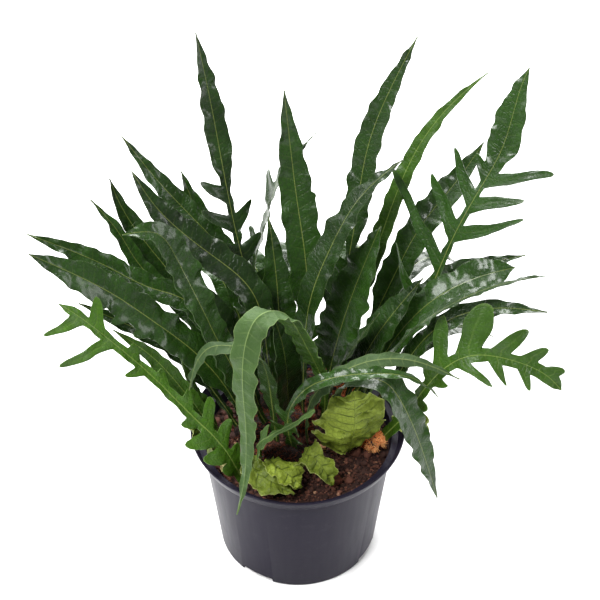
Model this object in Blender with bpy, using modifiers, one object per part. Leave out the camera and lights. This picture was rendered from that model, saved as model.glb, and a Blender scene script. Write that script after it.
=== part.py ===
"""A strap-leaved fern in a plain nursery pot: pot, root ball, creeping rhizomes, fronds and bark chips.

The origin is the centre of the pot's base, +Z is up and the plant is seen from -Y.
Blender's units are metres. The tables of the plant are in millimetres, and MM turns them to metres.
"""

import math

import bmesh
import bpy
import numpy as np

MM = 0.001
GAP = 0.4  # between two pieces that touch

# The pot, in millimetres.
RIM_RADIUS = 85.0  # outside, at the top
POT_HEIGHT = 122.0
LIP_HEIGHT = 11.0
LIP_DRAFT = 4.0  # how much the lip narrows from its top to its lower edge
SHOULDER = 5.0  # the step from the lip in to the wall
FOOT_RADIUS = 64.5
FOOT_CHAMFER = 1.0
WALL = 1.3
FLOOR = 1.6
DRAIN_WIDTH = 28.0
DRAIN_HEIGHT = 5.0
DRAIN_REACH = 9.0  # how far a drain slot runs in under the base
DRAIN_BEARINGS = (239.0, 333.0, 63.0, 153.0)  # degrees from +X
LIP_FOOT = POT_HEIGHT - LIP_HEIGHT
LIP_RADIUS = RIM_RADIUS - LIP_DRAFT
WALL_TOP = LIP_RADIUS - SHOULDER
POT_STEPS = 48
SOIL_STEPS = 32

# The root ball and the rhizomes that creep over it.
HEADSPACE = 18.0  # from the rim down to the soil
SOIL_TOP = POT_HEIGHT - HEADSPACE
SOIL_CROWN = 0.5  # how much the soil rises in the middle
RHIZOME_RADIUS = 8.5
RHIZOME_MIDDLE = SOIL_TOP + SOIL_CROWN + GAP + RHIZOME_RADIUS
ROOT_REACH = 3.4  # a frond's root needs this much room round it
ROOT_TILT = 0.35  # how far a slanting root's lower corner hangs, per millimetre of its half width

# The fronds.
BLADE_THICKNESS = 0.8
WING = 3.2  # half width of the leafy wing along the lobed stretch
LOBE_HALF_BASE = 7.5  # along the midrib, from a lobe's axis to the notch beside it
LOBE_LEAN = 0.75  # how far a lobe leans towards the tip, per millimetre of its reach
FOLD = 0.16  # how far the margins rise above the midrib, per millimetre of half width
ROOT_PART = 0.12  # part of the length over which the root's width turns into the wing's
RISE_PART = 0.12  # part of the length over which the wing widens to the full blade
TIP_POWER = 1.7  # over 1 keeps the blade full until near its tip
TIP_HALF = 0.5  # half width at the very tip

DARK_GREEN = (0.016, 0.052, 0.018)
YOUNG_GREEN = (0.060, 0.150, 0.022)
PALE_GREEN = (0.190, 0.300, 0.060)

# The middle line of each rhizome, seen from above.
RHIZOMES = {
    "rhizome_far": [(-34, 52), (-12, 57), (20, 58), (48, 50)],
    "rhizome_back": [(-42, 26), (-20, 34), (6, 38), (28, 32), (46, 24)],
    "rhizome_middle": [(-50, -4), (-30, 6), (-8, 12), (12, 8)],
    "rhizome_right": [(24, 4), (38, 4), (52, -4), (64, -18)],
    "rhizome_front": [(14, -22), (2, -24), (-14, -27), (-34, -34)],
}
# The stub of a frond that was cut off close to its rhizome: two ends of it and its radius.
CUT_STUB = ((-49.0, -34.0, 109.5), (-58.5, -39.5, 112.0), 3.3)
# Bark chips on the soil: (x, y) of the middle, (length, width, thickness), turn about the vertical.
BARK_CHIPS = {
    "bark_chip_1": ((16, -12), (13, 5, 3), 8),
    "bark_chip_2": ((-50, -24), (11, 4, 3), -8),
    "bark_chip_3": ((29, -48), (9, 8, 6), 35),
}


def frond(
    points, width, left=(), right=(), bare=0.25, taper=0.55, roll=(0, 0), colour=DARK_GREEN, base=2.6,
    wing=WING,
):
    """One frond's design: where its midrib runs, its widths and its lobes.

    points   millimetres, from the root to the tip; the root's own height follows from what it grows on
    width    the whole width of its unlobed upper part
    left     lobes of the left side, each (place along the midrib from 0 to 1, reach from it in mm),
             with its half base as a third number where that isn't LOBE_HALF_BASE
    right    the same for the right side
    bare     the part of its length, from the root, that is only midrib and wing
    taper    where it starts to narrow towards the tip
    roll     turn about the midrib in degrees, from the root to the tip
    base     half width at the root
    wing     half width along the lobed stretch
    """
    return dict(
        points=points, width=width, left=left, right=right, bare=bare, taper=taper, roll=roll,
        colour=colour, base=base, wing=wing,
    )


FRONDS = {
    # The tall fronds at the back.
    "tall_frond_1": frond(
        [(-18, 34, 124), (-30, 48, 190), (-44, 68, 240), (-56, 90, 300), (-65, 110, 350),
         (-74, 120, 402)],
        19, [(0.34, 18), (0.42, 23), (0.5, 26), (0.58, 22)], [(0.32, 18), (0.41, 20), (0.5, 19)],
        bare=0.58, taper=0.76, roll=(0, 0),
    ),
    "tall_frond_2": frond(
        [(2, 38, 124), (7, 48, 180), (6, 60, 238), (0, 78, 278), (-6, 94, 326), (-10, 100, 366)],
        27, [], [(0.2, 16), (0.66, 15)], bare=0.26, taper=0.6, roll=(0, 0),
    ),
    "tall_frond_3": frond(
        [(16, 48, 124), (30, 58, 180), (40, 72, 232), (46, 84, 274), (55, 100, 325), (87, 118, 400)],
        21, [(0.24, 17), (0.36, 19)], [(0.26, 17), (0.4, 17)], bare=0.4, taper=0.68,
        roll=(-15, -15),
    ),
    "tall_frond_4": frond(
        [(28, 47, 124), (46, 58, 190), (62, 70, 245), (86, 84, 318), (112, 90, 360), (137, 92, 386)],
        14, bare=0.25, taper=0.62, roll=(-30, -35), colour=YOUNG_GREEN,
    ),
    "tall_frond_5": frond(
        [(44, 28, 124), (72, 26, 178), (98, 29, 230), (113, 38, 271), (133, 52, 311),
         (149, 64, 342), (158, 75, 380), (164, 80, 397)],
        25, [(0.34, 44), (0.48, 58), (0.57, 38, 8), (0.66, 32), (0.73, 16)],
        [(0.57, 45), (0.65, 36), (0.72, 44)], bare=0.7, taper=0.84, roll=(-20, -25),
    ),
    "tall_frond_6": frond(
        [(40, 44, 124), (60, 62, 175), (78, 76, 215), (96, 90, 248), (122, 104, 280),
         (142, 112, 312)],
        24, bare=0.28, taper=0.72, roll=(-20, -20),
    ),
    "tall_frond_7": frond(
        [(4, 10, 124), (5, 14, 175), (10, 24, 230), (26, 40, 270), (46, 52, 304), (76, 60, 332)],
        25, bare=0.22, taper=0.64, roll=(0, 0),
    ),
    "tall_frond_8": frond(
        [(-10, 52, 124), (-22, 62, 170), (-34, 74, 216), (-26, 86, 250), (-14, 96, 290),
         (14, 98, 330)],
        15, [(0.5, 24), (0.72, 20)], bare=0.3, taper=0.6, roll=(40, 60),
    ),
    "tall_frond_9": frond(
        [(-9, 26, 124), (-13, 38, 165), (-16, 54, 218), (-22, 72, 271)],
        26, bare=0.2, taper=0.5, roll=(0, 0),
    ),
    # The left-hand fronds.
    "left_frond_1": frond(
        [(-22, 32, 124), (-32, 48, 180), (-50, 64, 230), (-75, 76, 260), (-106, 88, 293),
         (-131, 94, 330)],
        20, bare=0.24, taper=0.66, roll=(10, 20),
    ),
    "left_frond_2": frond(
        [(-20, 14, 124), (-24, 22, 175), (-34, 36, 225), (-62, 46, 252), (-101, 54, 288),
         (-121, 58, 324)],
        24, bare=0.24, taper=0.68, roll=(20, 30),
    ),
    "left_frond_3": frond(
        [(-38, 30, 124), (-60, 48, 165), (-86, 66, 198), (-114, 80, 232), (-134, 88, 264),
         (-143, 90, 294)],
        19, bare=0.26, taper=0.66, roll=(20, 30),
    ),
    "left_frond_4": frond(
        [(-42, 18, 124), (-68, 34, 175), (-98, 50, 210), (-122, 58, 236), (-135, 62, 262),
         (-155, 66, 292)],
        14, bare=0.26, taper=0.66, roll=(20, 20),
    ),
    "left_frond_5": frond(
        [(-26, 0, 124), (-40, -6, 165), (-56, -6, 205), (-72, 0, 246), (-88, 8, 284),
         (-100, 4, 308), (-122, -8, 316)],
        26, bare=0.14, taper=0.76, roll=(40, 30),
    ),
    "left_frond_6": frond(
        [(-26, 46, 124), (-42, 74, 180), (-64, 96, 226), (-80, 104, 256), (-90, 108, 288)],
        21, bare=0.26, taper=0.66, roll=(10, 10),
    ),
    "left_frond_7": frond(
        [(-44, 6, 124), (-62, 20, 180), (-84, 28, 224), (-110, 24, 241), (-142, 19, 267),
         (-192, 8, 304)],
        19, bare=0.22, taper=0.7, roll=(20, 40),
    ),
    "left_frond_8": frond(
        [(-36, -10, 124), (-54, -10, 168), (-78, -8, 206), (-106, -10, 238), (-136, -12, 268),
         (-186, -22, 310)],
        25, [(0.58, 18), (0.66, 19), (0.74, 17)], bare=0.2, taper=0.76, roll=(40, 45),
    ),
    "left_frond_9": frond(
        [(-48, -4, 124), (-72, 4, 165), (-96, 8, 196), (-124, 4, 220), (-160, -2, 248)],
        16, bare=0.22, taper=0.6, roll=(20, 30),
    ),
    # The right-hand fronds.
    "right_frond_1": frond(
        [(52, 33, 124), (72, 40, 170), (94, 43, 212), (113, 46, 234), (140, 49, 243), (172, 48, 253)],
        16, bare=0.26, taper=0.7, roll=(-10, -30),
    ),
    "right_frond_2": frond(
        [(46, 6, 124), (62, 6, 179), (84, 8, 222), (106, 12, 244), (134, 14, 260), (158, 10, 272)],
        25, bare=0.3, taper=0.88, roll=(-20, -40),
    ),
    "right_frond_3": frond(
        [(44, -10, 124), (58, -14, 178), (78, -15, 224), (102, -16, 252), (140, -15, 275),
         (178, -16, 286)],
        15, bare=0.26, taper=0.6, roll=(10, 20),
    ),
    "right_frond_4": frond(
        [(56, -3, 124), (76, -9, 182), (96, -13, 226), (118, -12, 245), (148, -12, 252),
         (180, -18, 253)],
        16, bare=0.32, taper=0.7, roll=(-20, -30),
    ),
    "right_frond_5": frond(
        [(68, -16, 124), (84, -27, 162), (94, -34, 192), (108, -38, 218), (125, -41, 232),
         (149, -44, 232), (177, -52, 224), (189, -58, 214)],
        14,
        [(0.43, 14, 6), (0.51, 32, 8), (0.63, 34, 9), (0.74, 24, 7), (0.84, 17, 6), (0.93, 12, 5)],
        [(0.3, 14, 7), (0.46, 13, 5), (0.6, 27, 6), (0.73, 20, 5), (0.84, 17, 5)], bare=0.9,
        taper=0.94, roll=(-45, -60), colour=YOUNG_GREEN, base=5, wing=5,
    ),
    # The front fronds, which arch over and hang.
    "front_frond_1": frond(
        [(20, -4, 124), (20, -14, 176), (6, -34, 236), (-10, -48, 278), (-28, -68, 290),
         (-37, -82, 262), (-36, -90, 210), (-38, -99, 165), (-44, -105, 134)],
        22, bare=0.16, taper=0.55, roll=(180, 180), colour=YOUNG_GREEN,
    ),
    "front_frond_2": frond(
        [(-16, -20, 124), (-20, -28, 180), (-28, -38, 228), (-44, -44, 243), (-62, -46, 244),
         (-72, -50, 232), (-78, -54, 210)],
        17, bare=0.18, taper=0.6, roll=(150, 180),
    ),
    "front_frond_3": frond(
        [(27, -12, 124), (30, -12, 152), (37, -25, 191), (47, -40, 208), (62, -46, 211),
         (76, -53, 196), (92, -60, 156), (106, -66, 108)],
        22, bare=0.2, taper=0.66, roll=(0, -20),
    ),
    "front_frond_4": frond(
        [(8, -22, 124), (9, -36, 176), (24, -43, 210), (52, -43, 228), (84, -47, 232),
         (116, -54, 221)],
        15, bare=0.18, taper=0.5, roll=(170, 150),
    ),
    "front_frond_5": frond(
        [(-4, -27, 124), (-6, -46, 180), (12, -54, 216), (46, -56, 228), (82, -54, 222),
         (102, -52, 202)],
        11, [(0.12, 15, 8), (0.23, 13, 7)], [(0.08, 14, 8), (0.18, 15, 8)], bare=0.34,
        taper=0.55, roll=(-75, 10), base=5,
    ),
    "front_frond_6": frond(
        [(-28, -33, 124), (-30, -44, 142), (-20, -55, 164), (-3, -62, 184), (12, -66, 202)],
        8, [(0.2, 12, 9), (0.36, 9, 6)], [(0.15, 12, 9), (0.29, 13, 8)], bare=0.88, taper=0.94,
        roll=(150, 150), colour=YOUNG_GREEN, base=6,
    ),
    # The young light-green fronds and the pale leaf bases that hug the soil.
    "young_frond_1": frond(
        [(-43, -45, 114), (-60, -47, 150), (-77, -44, 172), (-107, -38, 210), (-133, -38, 243),
         (-153, -39, 267), (-166, -40, 280)],
        10,
        [(0.08, 12, 8), (0.16, 20, 9), (0.25, 22, 9), (0.34, 12, 6), (0.62, 14, 5),
         (0.78, 41, 6), (0.92, 27, 6)],
        [(0.11, 12, 8), (0.2, 18, 8), (0.29, 20, 7), (0.4, 12), (0.53, 9), (0.67, 9), (0.85, 19)],
        bare=0.88, taper=0.92, roll=(40, 30), colour=YOUNG_GREEN, base=5, wing=4,
    ),
    "young_frond_2": frond(
        [(-60, -20, 106), (-70, -22, 145), (-88, -20, 180), (-108, -20, 212), (-134, -20, 238)],
        14, bare=0.26, taper=0.6, roll=(40, 40), colour=YOUNG_GREEN,
    ),
    "young_frond_3": frond(
        [(-62, 2, 106), (-74, -4, 150), (-83, -10, 178), (-87, -10, 202)],
        12, bare=0.26, taper=0.6, roll=(30, 30), colour=YOUNG_GREEN,
    ),
    "base_leaf_front": frond(
        [(-36, -38, 109), (-33, -48, 119), (-22, -59, 120), (-3, -69, 114)],
        22, [(0.45, 14, 7), (0.72, 12, 7)], [(0.33, 13, 7), (0.6, 13, 7)], bare=0.05,
        taper=0.6, roll=(0, 0), colour=PALE_GREEN, base=5,
    ),
    "base_leaf_middle": frond(
        [(0, -42, 110), (7, -45, 132), (16, -52, 132), (25, -60, 115)],
        19, [(0.42, 13, 7), (0.7, 13, 7)], [(0.35, 12, 7), (0.62, 13, 7)], bare=0.08,
        taper=0.78, roll=(0, 0), colour=PALE_GREEN, base=5,
    ),
    "base_leaf_crossing": frond(
        [(-22, -39, 111), (-18, -47, 124), (-9, -56, 125), (4, -63, 117)],
        15, [(0.45, 13, 6), (0.72, 12, 6)], [(0.35, 10, 6), (0.62, 11, 6)], bare=0.05,
        taper=0.8, roll=(0, 0), colour=PALE_GREEN, base=4,
    ),
    "base_leaf_left": frond(
        [(-60, -28, 110), (-67, -34, 127), (-75, -36, 142), (-82, -37, 154)],
        13, [(0.45, 10, 7), (0.7, 10, 6)], [(0.5, 10, 7), (0.75, 10, 6)], bare=0.05, taper=0.8,
        roll=(20, 20), colour=PALE_GREEN, base=3,
    ),
    "base_leaf_right": frond(
        [(40, -18, 109), (41, -25, 126), (43, -29, 150), (42, -25, 181)],
        46, [(0.22, 20, 9), (0.4, 28, 9), (0.58, 29, 9), (0.78, 24, 9)],
        [(0.4, 30, 9), (0.58, 32, 9), (0.78, 25, 9)], bare=0.1, taper=0.8, roll=(0, 0),
        colour=PALE_GREEN, base=8,
    ),
    "base_leaf_outer": frond(
        [(69, -1, 109), (80, -9, 135), (91, -20, 143), (99, -33, 134)],
        12, [(0.5, 9, 6), (0.75, 9, 6)], [(0.55, 13, 6), (0.75, 15, 6)], bare=0.25, taper=0.85,
        roll=(-20, -30), colour=PALE_GREEN, base=4,
    ),
    # The inner fronds that fill the crown.
    "inner_frond_1": frond(
        [(34, 4, 124), (44, 2, 170), (62, 4, 216), (92, 10, 262)],
        27, bare=0.24, taper=0.6, roll=(-20, -20),
    ),
    "inner_frond_2": frond(
        [(-8, -2, 124), (-8, -6, 170), (-12, 0, 208), (-20, 6, 236)],
        30, bare=0.2, taper=0.55, roll=(0, 0),
    ),
    "inner_frond_3": frond(
        [(18, 2, 124), (29, -1, 170), (43, -4, 208), (60, -4, 240)],
        26, bare=0.24, taper=0.55, roll=(0, 0),
    ),
    "inner_frond_4": frond(
        [(22, 28, 124), (30, 32, 175), (44, 42, 226), (62, 54, 276)],
        37, bare=0.16, taper=0.6, roll=(-10, -10),
    ),
    "inner_frond_5": frond(
        [(-30, 12, 124), (-40, 16, 165), (-55, 20, 206), (-78, 28, 246)],
        28, bare=0.2, taper=0.55, roll=(20, 20),
    ),
    # The fronds on the far side, which arch low.
    "back_frond_1": frond(
        [(-34, 48, 124), (-50, 72, 180), (-78, 104, 206), (-118, 134, 178)],
        20, bare=0.3, taper=0.6,
    ),
    "back_frond_2": frond(
        [(-16, 58, 124), (-26, 86, 184), (-44, 120, 200), (-66, 160, 160)],
        21, bare=0.3, taper=0.6,
    ),
    "back_frond_3": frond(
        [(2, 58, 124), (2, 90, 186), (-4, 128, 198), (-10, 172, 150)],
        22, bare=0.3, taper=0.6,
    ),
    "back_frond_4": frond(
        [(20, 58, 124), (32, 88, 184), (48, 122, 200), (64, 162, 158)],
        21, bare=0.3, taper=0.6,
    ),
    "back_frond_5": frond(
        [(48, 48, 124), (70, 74, 182), (100, 98, 208), (138, 122, 184)],
        20, bare=0.3, taper=0.6,
    ),
    "back_frond_6": frond(
        [(58, 24, 106), (86, 36, 156), (120, 50, 178), (158, 64, 156)],
        18, bare=0.3, taper=0.6,
    ),
}


def spine_of(points, places):
    """Points of the smooth midrib at these fractions of its length, and the length."""
    knots = np.asarray(points, float)
    last = len(knots) - 1
    steps = np.linalg.norm(np.diff(knots, axis=0), axis=1) ** 0.6
    chord = np.concatenate([[0], np.cumsum(steps)])
    matrix = np.eye(last + 1)
    known = np.zeros((last + 1, 3))
    for i in range(1, last):
        before, after = steps[i - 1], steps[i]
        matrix[i, i - 1 : i + 2] = before, 2 * (before + after), after
        known[i] = 6 * ((knots[i + 1] - knots[i]) / after - (knots[i] - knots[i - 1]) / before)
    bend = np.linalg.solve(matrix, known)
    along = np.linspace(0, chord[-1], 300)
    span = np.clip(np.searchsorted(chord, along) - 1, 0, last - 1)
    width = steps[span][:, None]
    to_end = (chord[span + 1] - along)[:, None]
    from_start = (along - chord[span])[:, None]
    curve = (bend[span] * to_end**3 + bend[span + 1] * from_start**3) / (6 * width)
    curve += (knots[span] / width - bend[span] * width / 6) * to_end
    curve += (knots[span + 1] / width - bend[span + 1] * width / 6) * from_start
    run = np.concatenate([[0], np.cumsum(np.linalg.norm(np.diff(curve, axis=0), axis=1))])
    wanted = np.asarray(places) * run[-1]
    found = [np.interp(wanted, run, curve[:, axis]) for axis in range(3)]
    return np.stack(found, axis=1), run[-1]


def frame_along(points, roll, places):
    """Centre, direction, sideways and upper-face vectors of the midrib at these fractions."""
    nudge = 0.002
    centre, _ = spine_of(points, places)
    ahead, _ = spine_of(points, np.clip(places + nudge, 0, 1))
    behind, _ = spine_of(points, np.clip(places - nudge, 0, 1))
    direction = ahead - behind
    direction /= np.linalg.norm(direction, axis=1)[:, None]
    heading = np.subtract(points[-1], points[0])
    level = np.array([heading[1], -heading[0], 0.0])
    side = level - (direction @ level)[:, None] * direction
    side /= np.linalg.norm(side, axis=1)[:, None]
    face = np.cross(side, direction)
    turn = np.radians(np.interp(places, (0, 1), roll))[:, None]
    turned_side = side * np.cos(turn) + face * np.sin(turn)
    turned_face = face * np.cos(turn) - side * np.sin(turn)
    return centre, direction, turned_side, turned_face


def clear_scene():
    for item in list(bpy.data.objects):
        bpy.data.objects.remove(item, do_unlink=True)


def new_collection(name):
    made = bpy.data.collections.new(name)
    bpy.context.scene.collection.children.link(made)
    return made


def material(name, colour, roughness):
    made = bpy.data.materials.new(name)
    made.use_nodes = True
    shader = made.node_tree.nodes["Principled BSDF"]
    shader.inputs["Base Color"].default_value = (*colour, 1.0)
    shader.inputs["Roughness"].default_value = roughness
    made.diffuse_color = (*colour, 1.0)
    return made


def add_shape(name, shape, collection):
    """An object from a bmesh, which this frees."""
    mesh = bpy.data.meshes.new(name)
    shape.to_mesh(mesh)
    shape.free()
    piece = bpy.data.objects.new(name, mesh)
    collection.objects.link(piece)
    return piece


def add_turned(name, profile, steps, surface, collection):
    """A solid of revolution: the profile runs from the axis out, down the outer side and back in."""
    mesh = bpy.data.meshes.new(name)
    points = [(radius * MM, 0.0, height * MM) for radius, height in profile]
    mesh.from_pydata(points, [(i, i + 1) for i in range(len(points) - 1)], [])
    mesh.materials.append(surface)
    piece = bpy.data.objects.new(name, mesh)
    collection.objects.link(piece)
    screw = piece.modifiers.new("turn", "SCREW")
    screw.steps = steps
    screw.render_steps = steps
    screw.use_merge_vertices = True
    screw.merge_threshold = 0.00001
    screw.use_smooth_shade = True
    return piece


def add_tube(name, points, radii, surface, collection):
    """A round bar along these points, with its own radius at each."""
    curve = bpy.data.curves.new(name, "CURVE")
    curve.dimensions = "3D"
    curve.bevel_depth = MM
    curve.bevel_resolution = 2
    curve.use_fill_caps = True
    spline = curve.splines.new("POLY")
    spline.points.add(len(points) - 1)
    for point, place, radius in zip(spline.points, points, radii):
        point.co = (*(MM * number for number in place), 1.0)
        point.radius = radius
    curve.materials.append(surface)
    piece = bpy.data.objects.new(name, curve)
    collection.objects.link(piece)
    return piece


def make_pot(collection, cutters):
    """A thin moulded pot with a stepped lip and a rounded rim; four slots at its foot let water out."""
    bead = WALL / 2
    corner = 0.3 * bead
    profile = [
        (0, FLOOR),
        (FOOT_RADIUS - WALL, FLOOR),
        (WALL_TOP - WALL, LIP_FOOT + WALL),
        (LIP_RADIUS - WALL, LIP_FOOT + WALL),
        (RIM_RADIUS - WALL, POT_HEIGHT - bead),
        (RIM_RADIUS - WALL + corner, POT_HEIGHT - corner),
        (RIM_RADIUS - bead, POT_HEIGHT),
        (RIM_RADIUS - corner, POT_HEIGHT - corner),
        (RIM_RADIUS, POT_HEIGHT - bead),
        (LIP_RADIUS, LIP_FOOT),
        (WALL_TOP, LIP_FOOT),
        (FOOT_RADIUS, FOOT_CHAMFER),
        (FOOT_RADIUS - FOOT_CHAMFER, 0),
        (0, 0),
    ]
    plastic = material("black_grey_plastic", (0.035, 0.032, 0.045), 0.5)
    pot = add_turned("pot", profile, POT_STEPS, plastic, collection)
    for number, bearing in enumerate(DRAIN_BEARINGS, start=1):
        shape = bmesh.new()
        bmesh.ops.create_cube(shape, size=MM)
        size = (2 * DRAIN_REACH, DRAIN_WIDTH, 2 * DRAIN_HEIGHT)
        bmesh.ops.scale(shape, vec=size, verts=shape.verts)
        cutter = add_shape(f"drain_cutter_{number}", shape, cutters)
        cutter.hide_render = True
        cutter.display_type = "WIRE"
        turn = math.radians(bearing)
        cutter.location = (FOOT_RADIUS * math.cos(turn) * MM, FOOT_RADIUS * math.sin(turn) * MM, 0)
        cutter.rotation_euler = (0, 0, turn)
        cut = pot.modifiers.new(f"drain_{number}", "BOOLEAN")
        cut.operation = "DIFFERENCE"
        cut.solver = "EXACT"
        cut.object = cutter


def make_soil(collection):
    """The root ball keeps the pot's inner shape and ends a headspace below the rim."""
    slope = (WALL_TOP - FOOT_RADIUS) / LIP_FOOT
    bottom = FLOOR + GAP
    drain_clear = DRAIN_HEIGHT + GAP
    edge = 3.0  # the soil rounds off this far from the wall

    def inside(height):
        return FOOT_RADIUS + slope * height - WALL - 2 * GAP

    profile = [
        (0, SOIL_TOP + SOIL_CROWN),
        (inside(SOIL_TOP) / 2, SOIL_TOP + 0.6 * SOIL_CROWN),
        (inside(SOIL_TOP) - edge, SOIL_TOP),
        (inside(SOIL_TOP), SOIL_TOP - edge / 2),
        (inside(drain_clear), drain_clear),
        (inside(drain_clear) - edge, bottom),
        (0, bottom),
    ]
    peat = material("peat_and_bark", (0.020, 0.012, 0.008), 0.95)
    add_turned("potting_soil", profile, SOIL_STEPS, peat, collection)


def rhizome_line(route, places):
    return spine_of([(x, y, RHIZOME_MIDDLE) for x, y in route], places)[0]


def make_rhizomes(collection):
    scales = material("rhizome_scales", (0.300, 0.120, 0.035), 0.9)
    places = np.array([0, 0.04, 0.12, 0.3, 0.5, 0.7, 0.88, 0.96, 1.0])
    parts = np.array([0.35, 0.7, 0.92, 1.0, 0.95, 1.0, 0.92, 0.7, 0.35])
    for name, route in RHIZOMES.items():
        add_tube(name, rhizome_line(route, places), RHIZOME_RADIUS * parts, scales, collection)


def seat_height(spot):
    """How high a frond that grows from this spot starts: just over a rhizome, or over the soil."""
    height = SOIL_TOP + SOIL_CROWN + GAP
    for route in RHIZOMES.values():
        line = rhizome_line(route, np.linspace(0, 1, 80))
        away = np.linalg.norm(line[:, :2] - np.array(spot[:2]), axis=1).min() - ROOT_REACH
        if away < RHIZOME_RADIUS:
            rise = math.sqrt(RHIZOME_RADIUS**2 - max(0.0, away) ** 2)
            height = max(height, RHIZOME_MIDDLE + rise + GAP)
    return height


def blade_half_width(design, place):
    """Half width of the blade without its lobes."""
    full = design["width"] / 2
    half = design["wing"] + (design["base"] - design["wing"]) * max(0.0, 1 - place / ROOT_PART)
    rise = min(1.0, max(0.0, (place - design["bare"]) / RISE_PART))
    half += (full - half) * rise * rise * (3 - 2 * rise)
    if place > design["taper"]:
        half *= 1 - ((place - design["taper"]) / (1 - design["taper"])) ** TIP_POWER
    return max(half, TIP_HALF)


def lobe_half_base(lobe):
    return lobe[2] if len(lobe) > 2 else LOBE_HALF_BASE


def side_half_width(design, lobes, place, length):
    """Half width of one side with its lobes."""
    half = blade_half_width(design, place)
    for lobe in lobes:
        centre, reach = lobe[:2]
        fall = abs(place - centre) * length / lobe_half_base(lobe)
        half = max(half, design["wing"] + (reach - design["wing"]) * (1 - fall))
    return half


def stations(design, length):
    """The fewest places along the midrib that still draw the blade and every lobe."""
    lobes = (*design["left"], *design["right"])
    peaks = sorted({lobe[0] for lobe in lobes})
    others = {0.0, ROOT_PART, design["bare"], design["bare"] + RISE_PART, design["taper"], 1.0}
    others |= {1 - (1 - design["taper"]) * part for part in (0.6, 0.3)}
    others |= {0.5 * (design["bare"] + design["taper"])}
    for lobe in lobes:
        notch = lobe_half_base(lobe) / length
        others |= {lobe[0] - notch, lobe[0] + notch}
    nearest = 0.012
    kept = list(peaks)
    for place in sorted(others, key=lambda place: place not in (0.0, 1.0)):
        if 0 <= place <= 1 and all(abs(place - other) >= nearest for other in kept):
            kept.append(place)
    return np.array(sorted(kept))


def make_frond(name, design, surface, collection):
    """A grid two faces wide, bent along the midrib and drawn out into its lobes, then thickened."""
    root, *others = design["points"]
    height = seat_height(root) + ROOT_TILT * design["base"]
    points = [(*root[:2], height), *others]
    length = spine_of(points, [0])[1]
    places = stations(design, length)
    centre, direction, side, face = frame_along(points, design["roll"], places)
    shape = bmesh.new()
    bmesh.ops.create_grid(shape, x_segments=2, y_segments=len(places) - 1, size=1.0)
    shape.verts.ensure_lookup_table()
    for row, place in enumerate(places):
        for column, lobes in enumerate((design["left"], (), design["right"])):
            half = side_half_width(design, lobes, place, length) * abs(column - 1)
            lean = LOBE_LEAN * max(0.0, half - blade_half_width(design, place))
            spot = centre[row] + (column - 1) * half * side[row]
            spot += lean * direction[row] + FOLD * half * face[row]
            shape.verts[row * 3 + column].co = spot * MM
    piece = add_shape(name, shape, collection)
    piece.data.materials.append(surface)
    shell = piece.modifiers.new("thickness", "SOLIDIFY")
    shell.thickness = BLADE_THICKNESS * MM
    shell.offset = 0.0


def make_cut_stub(collection):
    start, end, radius = CUT_STUB
    surface = material("cut_stalk", (0.35, 0.30, 0.16), 0.8)
    add_tube("cut_stub", [start, end], [radius, 0.9 * radius], surface, collection)


def make_bark_chips(collection):
    """Broken flat chips of bark that lie on the soil."""
    bark = material("pine_bark", (0.28, 0.14, 0.07), 0.9)
    for name, (spot, size, turn) in BARK_CHIPS.items():
        shape = bmesh.new()
        bmesh.ops.create_cube(shape, size=MM)
        bmesh.ops.scale(shape, vec=size, verts=shape.verts)
        chip = add_shape(name, shape, collection)
        chip.data.materials.append(bark)
        height = SOIL_TOP + SOIL_CROWN + GAP + size[2] / 2
        chip.location = (spot[0] * MM, spot[1] * MM, height * MM)
        chip.rotation_euler = (0, 0, math.radians(turn))
        bevel = chip.modifiers.new("worn_edges", "BEVEL")
        bevel.width = 0.25 * min(size) * MM
        bevel.segments = 1


def main():
    clear_scene()
    fern = new_collection("potted_fern")
    cutters = new_collection("cutters")
    make_pot(fern, cutters)
    make_soil(fern)
    make_rhizomes(fern)
    make_cut_stub(fern)
    make_bark_chips(fern)
    surfaces = {
        DARK_GREEN: material("old_frond_green", DARK_GREEN, 0.35),
        YOUNG_GREEN: material("young_frond_green", YOUNG_GREEN, 0.4),
        PALE_GREEN: material("base_leaf_green", PALE_GREEN, 0.45),
    }
    for name, design in FRONDS.items():
        make_frond(name, design, surfaces[design["colour"]], fern)


main()
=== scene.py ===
"""The looks of a strap-leaved fern in a nursery pot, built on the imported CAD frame.

The file follows the plant as it is potted: pot, soil, rhizomes, cut stub, old fronds, young
fronds, base leaves and bark chips, and then the studio. Blender's units are metres; sizes are
given in millimetres and MM turns them.
"""

import functools
import math
import random

import bmesh
import bpy
import numpy as np
from mathutils import Matrix, Vector, noise


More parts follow.
